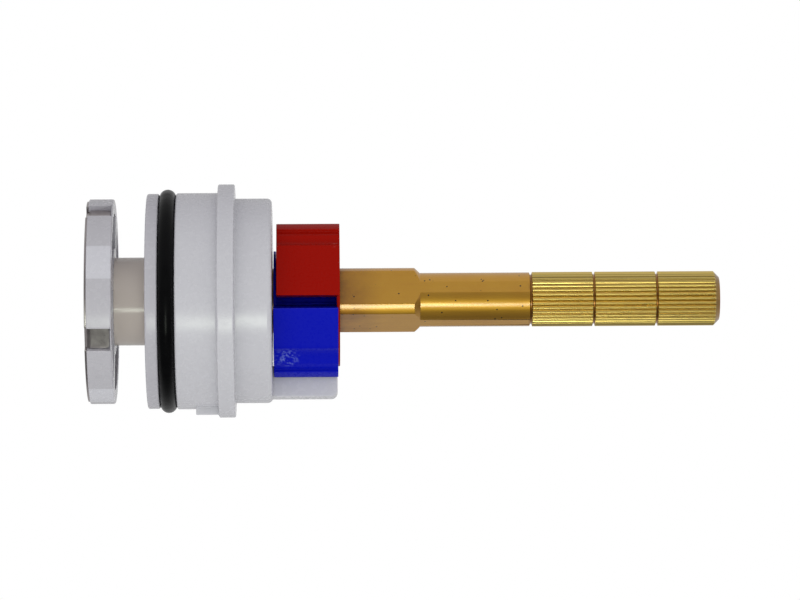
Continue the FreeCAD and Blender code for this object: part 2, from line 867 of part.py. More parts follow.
for item in doc.Objects:
    if "Invalid" in item.State or "Error" in item.State:
        raise RuntimeError(f"{item.Label} did not build: {item.State}")
KINDS = ("PartDesign::Body", "Part::Torus", "Part::Cylinder")
pieces = [item for item in doc.Objects if item.TypeId in KINDS]
for item in pieces:
    if item.Shape.isNull() or not item.Shape.isValid() or not item.Shape.Solids:
        raise RuntimeError(f"{item.Label} has no valid solid")
os.makedirs("parts", exist_ok=True)
for item in pieces:
    item.Shape.exportStep(os.path.join("parts", item.Label + ".step"))
    print(item.Label, "solids", len(item.Shape.Solids), "volume", round(item.Shape.Volume, 1))
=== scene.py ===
import math

import bmesh
import bpy
from mathutils import Matrix, Vector


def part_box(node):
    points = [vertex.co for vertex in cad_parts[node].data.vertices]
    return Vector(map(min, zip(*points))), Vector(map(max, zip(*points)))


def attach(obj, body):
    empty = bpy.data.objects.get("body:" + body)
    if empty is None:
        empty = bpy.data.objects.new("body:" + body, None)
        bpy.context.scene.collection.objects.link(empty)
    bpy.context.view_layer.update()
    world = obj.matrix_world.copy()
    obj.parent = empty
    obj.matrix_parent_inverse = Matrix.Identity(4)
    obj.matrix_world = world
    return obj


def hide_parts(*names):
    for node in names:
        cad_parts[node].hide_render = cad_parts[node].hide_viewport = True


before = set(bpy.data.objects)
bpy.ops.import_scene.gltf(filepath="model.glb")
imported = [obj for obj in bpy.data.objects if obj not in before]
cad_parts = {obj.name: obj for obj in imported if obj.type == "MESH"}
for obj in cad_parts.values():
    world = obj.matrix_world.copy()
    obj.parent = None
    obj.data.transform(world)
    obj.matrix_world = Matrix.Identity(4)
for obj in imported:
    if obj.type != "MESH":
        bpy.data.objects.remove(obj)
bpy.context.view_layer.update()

# A rotary mixing cartridge: a white moulded body with a black seal, a ported disc behind it, and a brass
# stem with two coloured limit stops. Shapes are worked out in millimetres about the stem's axis, x.
# Angles about the axis start at the camera's side (-y) and grow towards +z.
MM = 0.001
ROUND_STEPS = 180
FINE = 1e-4
FIT = 0.01


def span(node):
    """Where a node starts and ends along the axis, and how far it reaches from it, in millimetres."""
    low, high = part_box(node)
    return low.x / MM, high.x / MM, max(high.z, -low.z) / MM


# White body, its key and its stop block
SHELL_BACK, BLOCK_FRONT, FLANGE_RADIUS = span("body_shell")
FLANGE_BACK = -2.71
BARREL_BACK = -9.56
BARREL_RADIUS = 17.7
GLAND_FLOOR = 15.56
CAVITY_RADIUS = 12.9
NOSE_RADIUS = 16.75
NOSE_FRONT = 6.08
COUNTERBORE_RADIUS = 8.0
COUNTERBORE_FLOOR = 4.18
WALL_BACK = 1.88
JOURNAL_BORE = 6.67
HEAD_BORE = 9.07
HUB_BACK = -7.38
HUB_RADIUS = 10.97
KEY_WIDTH = 8.0
KEY_LENGTH = 3.72
KEY_REACH = 18.55
BLOCK_INNER = 11.1
BLOCK_RADIUS = 16.2
BLOCK_SWEEP = 31.0
BLOCK_ROOT = 1.5
KEY_ROOT = 0.5

# Cap behind the seal, and the seal
CAP_BACK, SPIGOT_FRONT, LIP_RADIUS = span("lower_cap")
SPIGOT_WALL = 1.6
SPIGOT_PLAY = 0.02
NECK_BORE = 7.27
NECK_COLLAR = 1.8
SEAL_BACK, SEAL_FRONT, SEAL_RADIUS = span("body_seal")

# Disc with its plate and screw
DISC_BACK, DISC_FRONT, DISC_RADIUS = span("rotor_disc")
DISC_HUB = 8.7
RIM_INNER = 14.4
WINDOW_DEPTH = 2.9
WINDOW_SWEEP = 70.4
WINDOW_ANGLE = -22.4
PORT_INNER = 10.2
PORT_OUTER = 13.6
PORT_SWEEP = 44.0
DRIVE_RADIUS = 4.52
DRIVE_DEPTH = 1.62
SCREW_HOLE = 2.02
SCREW_RECESS = 1.4
SCREW_RECESS_RADIUS = 4.4
PLATE_BACK, TAB_FRONT, PLATE_RADIUS = span("face_plate")
PLATE_HOLE = 4.7
SHEET = 0.34
TAB_RADIUS = 15.74
TAB_WIDTH = 3.6
TAB_PLAY = 0.1
TAB_FOOT = 2.0
TAB_BEND = 1.1
TAB_CORNER = 0.7
RELIEF_DEPTH = 0.3
TAB_ANGLES = (-21.7, 63.1, 158.3, 243.1)
NOTCH_WALL = 0.25
SCREW_BACK, SCREW_TIP, SCREW_HEAD_RADIUS = span("disc_screw")
SCREW_HEAD = 1.0
SCREW_RADIUS = 2.0
SCREW_SLOT = 0.9
SCREW_SLOT_DEPTH = 0.55

# Brass stem
STEM_BACK, STEM_FRONT, _ = span("stem")
STOCK_RADIUS = 5.28
SQUARE_ANGLE = 29.0
SQUARE_HALF = 4.3
SQUARE_FRONT = 29.32
THIN_BACK = 30.23
THIN_RADIUS = 4.41
TEETH_BACK = 48.38
TEETH_RADIUS = 4.47
TEETH = 36
GROOVE = 0.33
TOOTH_POINTS = 26
SEGMENT = 10.3
SNAP_WIDTH = 0.46
SNAP_DEPTH = 0.42
END_CHAMFER = 0.95
SCREW_BORE = 1.65
SCREW_BORE_DEPTH = 14.0

# Limit stops
BLUE_BACK, BLUE_FRONT, _ = span("blue_stop")
RED_BACK, RED_FRONT, _ = span("red_stop")
BASE_RADIUS = 8.1
BASE_THICKNESS = 0.4
CROWN_RADIUS = 7.0
CROWN_TEETH = 24
CROWN_SIDES = 16
CROWN_TOOTH = 0.45
CROWN_PLAY = 0.06
CROWN_SINK = 0.02
SQUARE_BORE = 4.35
STOP_RADIUS = 12.6
STOP_RIB_RADIUS = 13.1
STOP_END = 73.0
STOP_RIB = 11.0
BLUE_START = 5.5
BLUE_INNER_FRONT = 16.5
BLUE_RIM_FRONT = 16.8
BLUE_FLAT_END = 36.0
BLUE_SCALLOP = 4.2
BLUE_SCALLOP_ANGLE = 46.0
RED_START = 4.0
RED_END_RING = 0.5
RED_RING_RADIUS = 10.8
RED_INNER = 7.4
RED_FLAT_END = 45.5
RED_SCALLOP = 2.0
RED_SCALLOP_ANGLE = 51.0
RIM_INNER_RADIUS = 11.0
CORE = 1.0
SCALLOP_DEPTH = 0.5
PAST = 1.0

# Sizes of the finishes' patterns
SPOKE_BLUR = 0.006
BROWN_LENGTH = 7.0
SPECK_SPACING = 1.5


def facing(angle):
    """The turn about x that brings +z to a direction about the axis."""
    return Matrix.Rotation(math.radians(90 - angle), 3, "X")


def outline(corners):
    """One face in the plane of the axis: corners are (place along x, radius, rounding)."""
    shape = bmesh.new()
    verts = [shape.verts.new((corner[0], 0, corner[1])) for corner in corners]
    shape.faces.new(verts)
    for vert, corner in zip(verts, corners):
        if len(corner) > 2:
            bmesh.ops.bevel(shape, geom=[vert], offset=corner[2], affect="VERTICES", segments=5,
                            profile=0.5, material=-1)
    return shape


def turned(corners, start=0.0, end=360.0):
    """An outline swept about the axis from one angle to another."""
    shape = outline(corners)
    whole = end - start >= 360
    if whole:
        bmesh.ops.delete(shape, geom=shape.faces[:], context="FACES_ONLY")
    bmesh.ops.rotate(shape, verts=shape.verts, cent=(0, 0, 0), matrix=facing(end))
    steps = max(2, round(ROUND_STEPS * (end - start) / 360))
    bmesh.ops.spin(shape, geom=shape.faces[:] + shape.edges[:] + shape.verts[:], cent=(0, 0, 0),
                   axis=(1, 0, 0), angle=math.radians(end - start), steps=steps, use_merge=whole)
    return shape


def strip(corners, width, angle):
    """An outline given a width across the axis, centred on a direction."""
    shape = outline(corners)
    bmesh.ops.translate(shape, vec=(0, -width / 2, 0), verts=shape.verts)
    pulled = bmesh.ops.extrude_face_region(shape, geom=shape.faces[:])
    moved = [item for item in pulled["geom"] if isinstance(item, bmesh.types.BMVert)]
    bmesh.ops.translate(shape, vec=(0, width, 0), verts=moved)
    bmesh.ops.rotate(shape, verts=shape.verts, cent=(0, 0, 0), matrix=facing(angle))
    return shape


def block(places, radii, width, angle):
    """A box between two places and two distances from the axis, centred on a direction."""
    back, front = places
    low, high = radii
    return strip([(back, low), (back, high), (front, high), (front, low)], width, angle)


def rod(places, radius, offset, angle, sides=24):
    """A cylinder along x, its middle at a distance and a direction from the axis."""
    shape = bmesh.new()
    bmesh.ops.create_cone(shape, cap_ends=True, segments=sides, radius1=radius, radius2=radius,
                          depth=places[1] - places[0])
    bmesh.ops.rotate(shape, verts=shape.verts, cent=(0, 0, 0), matrix=Matrix.Rotation(math.pi / 2, 3, "Y"))
    bmesh.ops.translate(shape, vec=(sum(places) / 2, 0, offset), verts=shape.verts)
    bmesh.ops.rotate(shape, verts=shape.verts, cent=(0, 0, 0), matrix=facing(angle))
    return shape


def repeated(shape, count):
    """The shape and its copies, evenly round the axis."""
    sweep = 2 * math.pi * (count - 1) / count
    bmesh.ops.spin(shape, geom=shape.faces[:] + shape.edges[:] + shape.verts[:], cent=(0, 0, 0),
                   axis=(1, 0, 0), angle=sweep, steps=count - 1, use_duplicate=True)
    return shape


def made_of(shape, name="part"):
    """An object from a bmesh, closed up and with its faces outwards."""
    bmesh.ops.remove_doubles(shape, verts=shape.verts, dist=FINE)
    bmesh.ops.recalc_face_normals(shape, faces=shape.faces)
    mesh = bpy.data.meshes.new(name)
    shape.to_mesh(mesh)
    shape.free()
    made = bpy.data.objects.new(name, mesh)
    bpy.context.scene.collection.objects.link(made)
    return made


def settle(made):
    """Applies the modifiers."""
    ready = made.evaluated_get(bpy.context.evaluated_depsgraph_get())
    mesh = bpy.data.meshes.new_from_object(ready)
    old = made.data
    made.modifiers.clear()
    made.data = mesh
    bpy.data.meshes.remove(old)


def join(made, other, how="UNION"):
    """Joins the other object to the piece, or cuts it out, and drops it."""
    change = made.modifiers.new("shape", "BOOLEAN")
    change.operation = how
    change.object = other
    change.solver = "EXACT"
    settle(made)
    bpy.data.objects.remove(other)


def shaped(made, how, *shapes):
    """Joins or cuts with each shape in turn."""
    for shape in shapes:
        join(made, made_of(shape), how)


def finished(made, name, edge=0.0, crease=40.0):
    """Breaks the sharp edges within the piece's own box, brings it to metres and shades it."""
    if edge:
        before = [[vert.co[side] for vert in made.data.vertices] for side in range(3)]
        bevel = made.modifiers.new("edges", "BEVEL")
        bevel.width = edge
        bevel.segments = 2
        bevel.limit_method = "ANGLE"
        bevel.angle_limit = math.radians(30)
        bevel.use_clamp_overlap = False
        bevel.miter_outer = "MITER_ARC"
        settle(made)
        for vert in made.data.vertices:
            vert.co = [min(max(vert.co[side], min(before[side])), max(before[side])) for side in range(3)]
    made.name = name
    made.data.name = name
    made.data.transform(Matrix.Scale(MM, 4))
    made.data.shade_smooth()
    made.data.set_sharp_from_angle(angle=math.radians(crease))
    weigh = made.modifiers.new("shading", "WEIGHTED_NORMAL")
    weigh.keep_sharp = True
    settle(made)
    return made


def body_shell():
    """Barrel, flange and nose round a bored hub, with the key and the stop block at the bottom."""
    made = made_of(turned([
        (SHELL_BACK, CAVITY_RADIUS),
        (SHELL_BACK, GLAND_FLOOR, 0.1),
        (BARREL_BACK, GLAND_FLOOR, 0.2),
        (BARREL_BACK, BARREL_RADIUS, 0.35),
        (FLANGE_BACK, BARREL_RADIUS, 0.25),
        (FLANGE_BACK, FLANGE_RADIUS, 0.25),
        (0, FLANGE_RADIUS, 0.25),
        (0, NOSE_RADIUS, 0.25),
        (NOSE_FRONT, NOSE_RADIUS, 0.8),
        (NOSE_FRONT, COUNTERBORE_RADIUS, 0.2),
        (COUNTERBORE_FLOOR, COUNTERBORE_RADIUS, 0.1),
        (COUNTERBORE_FLOOR, JOURNAL_BORE, 0.15),
        (WALL_BACK, JOURNAL_BORE, 0.15),
        (WALL_BACK, HEAD_BORE),
        (HUB_BACK, HEAD_BORE, 0.2),
        (HUB_BACK, HUB_RADIUS),
        (WALL_BACK, HUB_RADIUS),
        (WALL_BACK, CAVITY_RADIUS),
    ]))
    root = NOSE_FRONT - BLOCK_ROOT
    shaped(
        made,
        "UNION",
        block((FLANGE_BACK - KEY_LENGTH, FLANGE_BACK + KEY_ROOT), (GLAND_FLOOR, KEY_REACH), KEY_WIDTH, -90),
        turned([
            (root, BLOCK_INNER),
            (root, BLOCK_RADIUS),
            (BLOCK_FRONT, BLOCK_RADIUS, 1.0),
            (BLOCK_FRONT, BLOCK_INNER),
        ], -90 - BLOCK_SWEEP / 2, -90 + BLOCK_SWEEP / 2),
    )
    return finished(made, "white_body", 0.15)


def lower_cap():
    """Lip behind the seal, with a spigot in the body and a collar round the neck."""
    lip_front = SHELL_BACK
    spigot = CAVITY_RADIUS - SPIGOT_PLAY
    made = made_of(turned([
        (CAP_BACK, NECK_BORE, 0.2),
        (CAP_BACK, LIP_RADIUS, 0.3),
        (lip_front, LIP_RADIUS, 0.3),
        (lip_front, spigot),
        (SPIGOT_FRONT, spigot, 0.2),
        (SPIGOT_FRONT, spigot - SPIGOT_WALL),
        (lip_front, spigot - SPIGOT_WALL),
        (lip_front, NECK_BORE + NECK_COLLAR),
        (SPIGOT_FRONT, NECK_BORE + NECK_COLLAR),
        (SPIGOT_FRONT, NECK_BORE),
    ]))
    return finished(made, "white_cap")


def body_seal():
    """The big rubber ring."""
    half = (SEAL_FRONT - SEAL_BACK) / 2
    shape = bmesh.new()
    ring = bmesh.ops.create_circle(shape, segments=48, radius=half)
    bmesh.ops.rotate(shape, verts=ring["verts"], cent=(0, 0, 0), matrix=Matrix.Rotation(math.pi / 2, 3, "X"))
    middle = ((SEAL_BACK + SEAL_FRONT) / 2, 0, SEAL_RADIUS - half)
    bmesh.ops.translate(shape, vec=middle, verts=ring["verts"])
    bmesh.ops.spin(shape, geom=shape.edges[:] + shape.verts[:], cent=(0, 0, 0), axis=(1, 0, 0),
                   angle=2 * math.pi, steps=ROUND_STEPS, use_merge=True)
    return finished(made_of(shape), "seal_ring")


def port(back, front):
    """The two curved water ports."""
    half = PORT_SWEEP / 2
    return repeated(
        turned([(back, PORT_INNER), (back, PORT_OUTER), (front, PORT_OUTER), (front, PORT_INNER)],
               WINDOW_ANGLE - half, WINDOW_ANGLE + half), 2)


def rotor_disc():
    """Rim, hub and four spokes, with a notch in the rim for each tab of the plate."""
    drive = DISC_FRONT - DRIVE_DEPTH
    seat = DISC_BACK + SCREW_RECESS
    made = made_of(turned([
        (DISC_BACK, SCREW_RECESS_RADIUS),
        (DISC_BACK, DISC_RADIUS, 0.15),
        (DISC_FRONT, DISC_RADIUS, 0.3),
        (DISC_FRONT, DRIVE_RADIUS),
        (drive, DRIVE_RADIUS),
        (drive, SCREW_HOLE),
        (seat, SCREW_HOLE),
        (seat, SCREW_RECESS_RADIUS),
    ]))
    floor = DISC_FRONT - WINDOW_DEPTH
    mouth = DISC_FRONT + PAST
    half = WINDOW_SWEEP / 2
    window = turned([(floor, DISC_HUB, 0.3), (floor, RIM_INNER, 0.3), (mouth, RIM_INNER), (mouth, DISC_HUB)],
                    WINDOW_ANGLE - half, WINDOW_ANGLE + half)
    notch_floor = TAB_RADIUS - SHEET - TAB_PLAY
    notches = [
        strip([
            (DISC_BACK - PAST, notch_floor - TAB_BEND),
            (DISC_BACK, notch_floor - TAB_BEND),
            (DISC_BACK + TAB_BEND, notch_floor),
            (DISC_FRONT - NOTCH_WALL, notch_floor),
            (DISC_FRONT - NOTCH_WALL, DISC_RADIUS + PAST),
            (DISC_BACK - PAST, DISC_RADIUS + PAST),
        ], TAB_WIDTH + 2 * TAB_PLAY, angle)
        for angle in TAB_ANGLES
    ]
    shaped(made, "DIFFERENCE", repeated(window, 4), port(DISC_BACK - PAST, mouth), *notches)
    return finished(made, "port_disc", 0.12)


def tab(angle):
    """A strip of the plate, bent forward round the disc's rim, its free corners rounded."""
    shape = strip([
        (PLATE_BACK, TAB_RADIUS - TAB_FOOT),
        (PLATE_BACK, TAB_RADIUS, TAB_BEND),
        (TAB_FRONT, TAB_RADIUS),
        (TAB_FRONT, TAB_RADIUS - SHEET),
        (PLATE_BACK + SHEET, TAB_RADIUS - SHEET, TAB_BEND - SHEET),
        (PLATE_BACK + SHEET, TAB_RADIUS - TAB_FOOT),
    ], TAB_WIDTH, angle)
    tip = [edge for edge in shape.edges
           if all(abs(vert.co.x - TAB_FRONT) < FINE for vert in edge.verts)
           and edge.calc_length() < 2 * SHEET]
    bmesh.ops.bevel(shape, geom=tip, offset=TAB_CORNER, affect="EDGES", segments=5, profile=0.5, material=-1)
    return shape


def face_plate():
    """Thin stainless sheet with two ports, held by its four bent tabs."""
    front = PLATE_BACK + SHEET
    made = made_of(turned([
        (PLATE_BACK, PLATE_HOLE), (PLATE_BACK, PLATE_RADIUS), (front, PLATE_RADIUS), (front, PLATE_HOLE)]))
    reliefs = [
        block((PLATE_BACK - PAST, front + PAST), (TAB_RADIUS - SHEET - RELIEF_DEPTH, PLATE_RADIUS + PAST),
              TAB_WIDTH + 2 * TAB_PLAY, angle)
        for angle in TAB_ANGLES
    ]
    shaped(made, "DIFFERENCE", port(PLATE_BACK - PAST, front + PAST), *reliefs)
    shaped(made, "UNION", *[tab(angle) for angle in TAB_ANGLES])
    return finished(made, "steel_plate", 0.05)


def disc_screw():
    """Screw with a rounded head and a cross slot."""
    seat = SCREW_BACK + SCREW_HEAD
    made = made_of(turned([
        (SCREW_BACK, 0),
        (SCREW_BACK, SCREW_HEAD_RADIUS, 0.5),
        (seat, SCREW_HEAD_RADIUS, 0.1),
        (seat, SCREW_RADIUS),
        (SCREW_TIP, SCREW_RADIUS, 0.9),
        (SCREW_TIP, 0),
    ]))
    slots = [
        block((SCREW_BACK - PAST, SCREW_BACK + SCREW_SLOT_DEPTH), (-SCREW_RADIUS, SCREW_RADIUS), SCREW_SLOT,
              SQUARE_ANGLE + turn)
        for turn in (0, 90)
    ]
    shaped(made, "DIFFERENCE", *slots)
    return finished(made, "plate_screw", 0.06)


def between_teeth():
    """What is cut away round the teeth: a tube whose bore has their round crests and sharp roots."""
    shape = bmesh.new()
    rings = []
    points = TEETH * TOOTH_POINTS
    for point in range(points):
        turn = 2 * math.pi * point / points
        root = 1 - abs(math.cos(TEETH * turn / 2))
        bore = TEETH_RADIUS - FIT - GROOVE * root
        rings.append([shape.verts.new((TEETH_BACK, -reach * math.cos(turn), reach * math.sin(turn)))
                      for reach in (bore, TEETH_RADIUS + PAST)])
    for one, other in zip(rings, rings[1:] + rings[:1]):
        shape.faces.new((one[0], one[1], other[1], other[0]))
    pulled = bmesh.ops.extrude_face_region(shape, geom=shape.faces[:])
    moved = [item for item in pulled["geom"] if isinstance(item, bmesh.types.BMVert)]
    bmesh.ops.translate(shape, vec=(STEM_FRONT + PAST - TEETH_BACK, 0, 0), verts=moved)
    return shape


def stem():
    """Round stock with four flats, a cone to a thinner length, and a toothed end with snap-off lines."""
    corners = [
        (STEM_BACK, 0),
        (STEM_BACK, STOCK_RADIUS, 0.3),
        (SQUARE_FRONT, STOCK_RADIUS),
        (THIN_BACK, THIN_RADIUS),
    ]
    before = THIN_RADIUS
    for segment in range(3):
        snap = TEETH_BACK + segment * SEGMENT
        corners += [
            (snap - SNAP_WIDTH / 2, before),
            (snap - SNAP_WIDTH / 5, TEETH_RADIUS - SNAP_DEPTH),
            (snap + SNAP_WIDTH / 5, TEETH_RADIUS - SNAP_DEPTH),
            (snap + SNAP_WIDTH / 2, TEETH_RADIUS),
        ]
        before = TEETH_RADIUS
    corners += [
        (STEM_FRONT - END_CHAMFER, TEETH_RADIUS),
        (STEM_FRONT, TEETH_RADIUS - END_CHAMFER),
        (STEM_FRONT, SCREW_BORE, 0.25),
        (STEM_FRONT - SCREW_BORE_DEPTH, SCREW_BORE),
        (STEM_FRONT - SCREW_BORE_DEPTH - SCREW_BORE / 2, 0),
    ]
    made = made_of(turned(corners))
    flats = repeated(
        block((STEM_BACK - PAST, TEETH_BACK - SNAP_WIDTH / 2), (SQUARE_HALF, STOCK_RADIUS + PAST),
              2 * STOCK_RADIUS, SQUARE_ANGLE), 4)
    shaped(made, "DIFFERENCE", flats, between_teeth())
    return finished(made, "brass_stem", 0.04, crease=10.5)


def stop_block(side, start, flat_end, hollow, hollow_angle, inner, back, front):
    """A stop's curved block, on one side of the axis. Its outer face has a flat, a long hollow and a rib."""
    middle = (start + flat_end) / 2
    chord = STOP_RADIUS * math.cos(math.radians(flat_end - start) / 2)
    far = STOP_RADIUS + hollow - SCALLOP_DEPTH
    rib_start = STOP_END - STOP_RIB

    def reach(angle):
        """How far from the axis the outer face is, at an angle."""
        if angle <= flat_end:
            return chord / math.cos(math.radians(angle - middle))
        off = math.radians(angle - hollow_angle)
        room = hollow ** 2 - (far * math.sin(off)) ** 2
        return min(STOP_RADIUS, far * math.cos(off) - math.sqrt(room)) if room > 0 else STOP_RADIUS

    def steps(low, high):
        """Angles from one to the other, about a degree apart."""
        count = round(high - low)
        return [low + (high - low) * step / count for step in range(count + 1)]

    inside = [(angle, inner) for angle in steps(start, STOP_END)]
    rib = [(angle, STOP_RIB_RADIUS) for angle in steps(rib_start, STOP_END)]
    outside = [(angle, reach(angle)) for angle in steps(start, flat_end) + steps(flat_end, rib_start)[1:]]
    shape = bmesh.new()
    corners = []
    for angle, radius in inside + rib[::-1] + outside[::-1]:
        turn = math.radians(angle * side)
        corners.append(shape.verts.new((back, -radius * math.cos(turn), radius * math.sin(turn))))
    shape.faces.new(corners)
    pulled = bmesh.ops.extrude_face_region(shape, geom=shape.faces[:])
    moved = [item for item in pulled["geom"] if isinstance(item, bmesh.types.BMVert)]
    bmesh.ops.translate(shape, vec=(front - back, 0, 0), verts=moved)
    return shape


def step_in(place):
    """What is cut off a stop's block inside its rim, in front of a place."""
    mouth = BLUE_FRONT + 2 * PAST
    return turned([(place, CORE), (place, RIM_INNER_RADIUS), (mouth, RIM_INNER_RADIUS), (mouth, CORE)])


def blue_stop():
    """Cold-side stop: a square-bored, toothed hub on a thin base, with a curved block and an end rib."""
    made = made_of(stop_block(-1, BLUE_START, BLUE_FLAT_END, BLUE_SCALLOP, BLUE_SCALLOP_ANGLE,
                              CROWN_RADIUS - 2 * CROWN_TOOTH, BLUE_BACK, BLUE_RIM_FRONT))
    base_front = BLUE_BACK + BASE_THICKNESS
    hub = made_of(turned([
        (BLUE_BACK + FIT, 0), (BLUE_BACK + FIT, BASE_RADIUS), (base_front, BASE_RADIUS),
        (base_front, CROWN_RADIUS), (BLUE_FRONT, CROWN_RADIUS, 0.15), (BLUE_FRONT, 0)]))
    gaps = rod((base_front, BLUE_FRONT + PAST), CROWN_TOOTH, CROWN_RADIUS, 0, CROWN_SIDES)
    shaped(hub, "DIFFERENCE", repeated(gaps, CROWN_TEETH))
    shaped(made, "DIFFERENCE", step_in(BLUE_INNER_FRONT))
    join(made, hub)
    bored = (BLUE_BACK - PAST, BLUE_FRONT + PAST)
    shaped(made, "DIFFERENCE", block(bored, (-SQUARE_BORE, SQUARE_BORE), 2 * SQUARE_BORE, SQUARE_ANGLE))
    return finished(made, "cold_stop", 0.1)


def red_stop():
    """Hot-side stop: a toothed end ring on the blue hub, with a curved block and an end rib."""
    ring_back = RED_FRONT - RED_END_RING
    bore = CROWN_RADIUS + CROWN_PLAY
    ring = made_of(turned([
        (ring_back, bore), (ring_back, RED_RING_RADIUS), (RED_FRONT, RED_RING_RADIUS), (RED_FRONT, bore)]))
    teeth = rod((ring_back + FIT, RED_FRONT - FIT), CROWN_TOOTH - CROWN_PLAY, CROWN_RADIUS + CROWN_SINK, 0,
                CROWN_SIDES)
    shaped(ring, "UNION", repeated(teeth, CROWN_TEETH))
    made = made_of(stop_block(1, RED_START, RED_FLAT_END, RED_SCALLOP, RED_SCALLOP_ANGLE, RED_INNER,
                              RED_BACK, RED_FRONT))
    shaped(made, "DIFFERENCE", step_in(ring_back + RED_END_RING / 2))
    join(made, ring)
    return finished(made, "hot_stop", 0.1)


def linear(text):
    """A hex colour as the linear one that a shader takes."""
    shares = [int(text[place:place + 2], 16) / 255 for place in (1, 3, 5)]
    return [share / 12.92 if share <= 0.04045 else ((share + 0.055) / 1.055) ** 2.4
            for share in shares] + [1]


def feed(tree, node, inputs):
    """Gives each of a node's inputs a value, or the output that it is linked from."""
    for name, given in inputs.items():
        if isinstance(given, bpy.types.NodeSocket):
            tree.links.new(given, node.inputs[name])
        else:
            node.inputs[name].default_value = given


def add(tree, kind, inputs=None, **settings):
    """Adds a node with its settings and inputs."""
    made = tree.nodes.new("ShaderNode" + kind)
    for name, setting in settings.items():
        setattr(made, name, setting)
    feed(tree, made, inputs or {})
    return made


def worked(tree, operation, *values, **settings):
    """The result of a sum on values and outputs."""
    return add(tree, "Math", dict(enumerate(values)), operation=operation, **settings).outputs[0]


def ramp(tree, value, start, end, low=0.0, high=1.0, **settings):
    """A value brought from one range to another, and held at the range's ends."""
    limits = {"Value": value, "From Min": start, "From Max": end, "To Min": low, "To Max": high}
    return add(tree, "MapRange", limits, **settings).outputs[0]


def mixed(tree, share, one, other):
    """Two colours, each a hex text or an output, mixed by a share."""
    pair = [linear(colour) if isinstance(colour, str) else colour for colour in (one, other)]
    return add(tree, "MixRGB", {"Fac": share, "Color1": pair[0], "Color2": pair[1]}).outputs[0]


def noise(tree, place, grain, detail, roughness=0.5):
    """Noise with its largest grain in millimetres."""
    return add(tree, "TexNoise", {"Vector": place, "Scale": 1 / (grain * MM), "Detail": detail,
                                  "Roughness": roughness}).outputs["Fac"]


def relief(tree, height, strength, depth):
    """The normal of a relief with its depth in millimetres."""
    return add(tree, "Bump", {"Height": height, "Strength": strength, "Distance": depth * MM}).outputs[0]


def fresh(name):
    """A new material: its tree, its shader and the place on the piece, in metres."""
    made = bpy.data.materials.new(name)
    made.use_nodes = True
    tree = made.node_tree
    return made, tree, tree.nodes["Principled BSDF"], add(tree, "TexCoord").outputs["Object"]


def spoke_glow_mask(tree, place):
    """One where a spoke backs the disc's rim, and nothing where a hollow does; it places the painted light
    on the rim.
    """
    parts = add(tree, "SeparateXYZ", {"Vector": place})
    turn = worked(tree, "ARCTAN2", parts.outputs["Z"], worked(tree, "MULTIPLY", parts.outputs["Y"], -1.0))
    moved = worked(tree, "SUBTRACT", turn, math.radians(WINDOW_ANGLE + 45))
    off = worked(tree, "ABSOLUTE", worked(tree, "WRAP", moved, -math.pi / 4, math.pi / 4))
    half = math.radians(90 - WINDOW_SWEEP) / 2
    return ramp(tree, off, half - SPOKE_BLUR, half + SPOKE_BLUR, 1.0, 0.0)


def acetal(name, pale, deep, grain=0.05, polish=0.23, spoke=None):
    """Acetal, moulded: a satin skin over a slightly cloudy body that lets a little light in. Where a spoke
    backs the disc's rim, it is painted paler: painted light for what the spoke sends back."""
    made, tree, shader, place = fresh(name)
    colour = mixed(tree, noise(tree, place, 9, 3.0), deep, pale)
    # Painted light: the rim is painted paler where a spoke backs it, for light the spoke sends back through
    # the wall.
    if spoke:
        colour = mixed(tree, spoke_glow_mask(tree, place), colour, spoke)
    skin = noise(tree, place, 0.9, 4.0)
    feed(tree, shader, {
        "Base Color": colour,
        "Roughness": ramp(tree, skin, 0.3, 0.7, polish, polish + 0.07),
        "Normal": relief(tree, skin, grain, 0.02),
        "IOR": 1.48,
        "Subsurface Weight": 0.25,
        "Subsurface Radius": (1.0, 1.0, 1.0),
        "Subsurface Scale": 0.8 * MM,
    })
    return made


def nitrile():
    """Nitrile rubber, greased: near black, with a soft sheen and a few duller dabs of grease."""
    made, tree, shader, place = fresh("greased nitrile rubber")
    dab = noise(tree, place, 2.2, 5.0, 0.6)
    feed(tree, shader, {
        "Base Color": mixed(tree, dab, "#050506", "#0a0a0c"),
        "Roughness": ramp(tree, dab, 0.3, 0.7, 0.16, 0.4),
        "IOR": 1.52,
        "Specular IOR Level": 0.1,
    })
    return made


def browned(tree, along, patch):
    """How brown the bar is: most beside the stops, and in patches."""
    near = ramp(tree, along, RED_FRONT * MM, (RED_FRONT + BROWN_LENGTH) * MM, 1.0, 0.0)
    return worked(tree, "MULTIPLY", near, ramp(tree, patch, 0.35, 0.65, 0.35, 1.0))


def tarnished(tree, place, cut):
    """Round dark specks, with none on the cut teeth."""
    spots = add(tree, "TexVoronoi", {"Vector": place, "Scale": 1 / (SPECK_SPACING * MM)}).outputs["Distance"]
    return worked(tree, "SUBTRACT", ramp(tree, spots, 0.07, 0.1, 1.0, 0.0), cut, use_clamp=True)


def shade_between_teeth(tree, place, toothed):
    """How much painted shade darkens the roots of the teeth, most at the root."""
    across = add(tree, "VectorMath", {0: place, 1: (0, 1, 1)}, operation="MULTIPLY")
    out = add(tree, "VectorMath", {0: across.outputs[0]}, operation="LENGTH").outputs["Value"]
    deep = ramp(tree, out, (TEETH_RADIUS - GROOVE) * MM, (TEETH_RADIUS - GROOVE / 3) * MM, 0.9, 0.0)
    return worked(tree, "MULTIPLY", deep, toothed)


def shade_in_grooves(tree, along, toothed):
    """How much painted shade darkens the snap-off grooves, most at their middle."""
    past = worked(tree, "SUBTRACT", along, TEETH_BACK * MM)
    off = worked(tree, "ABSOLUTE", worked(tree, "WRAP", past, -SEGMENT * MM / 2, SEGMENT * MM / 2))
    return worked(tree, "MULTIPLY", ramp(tree, off, 0.1 * MM, SNAP_WIDTH * MM / 2, 0.7, 0.0), toothed)


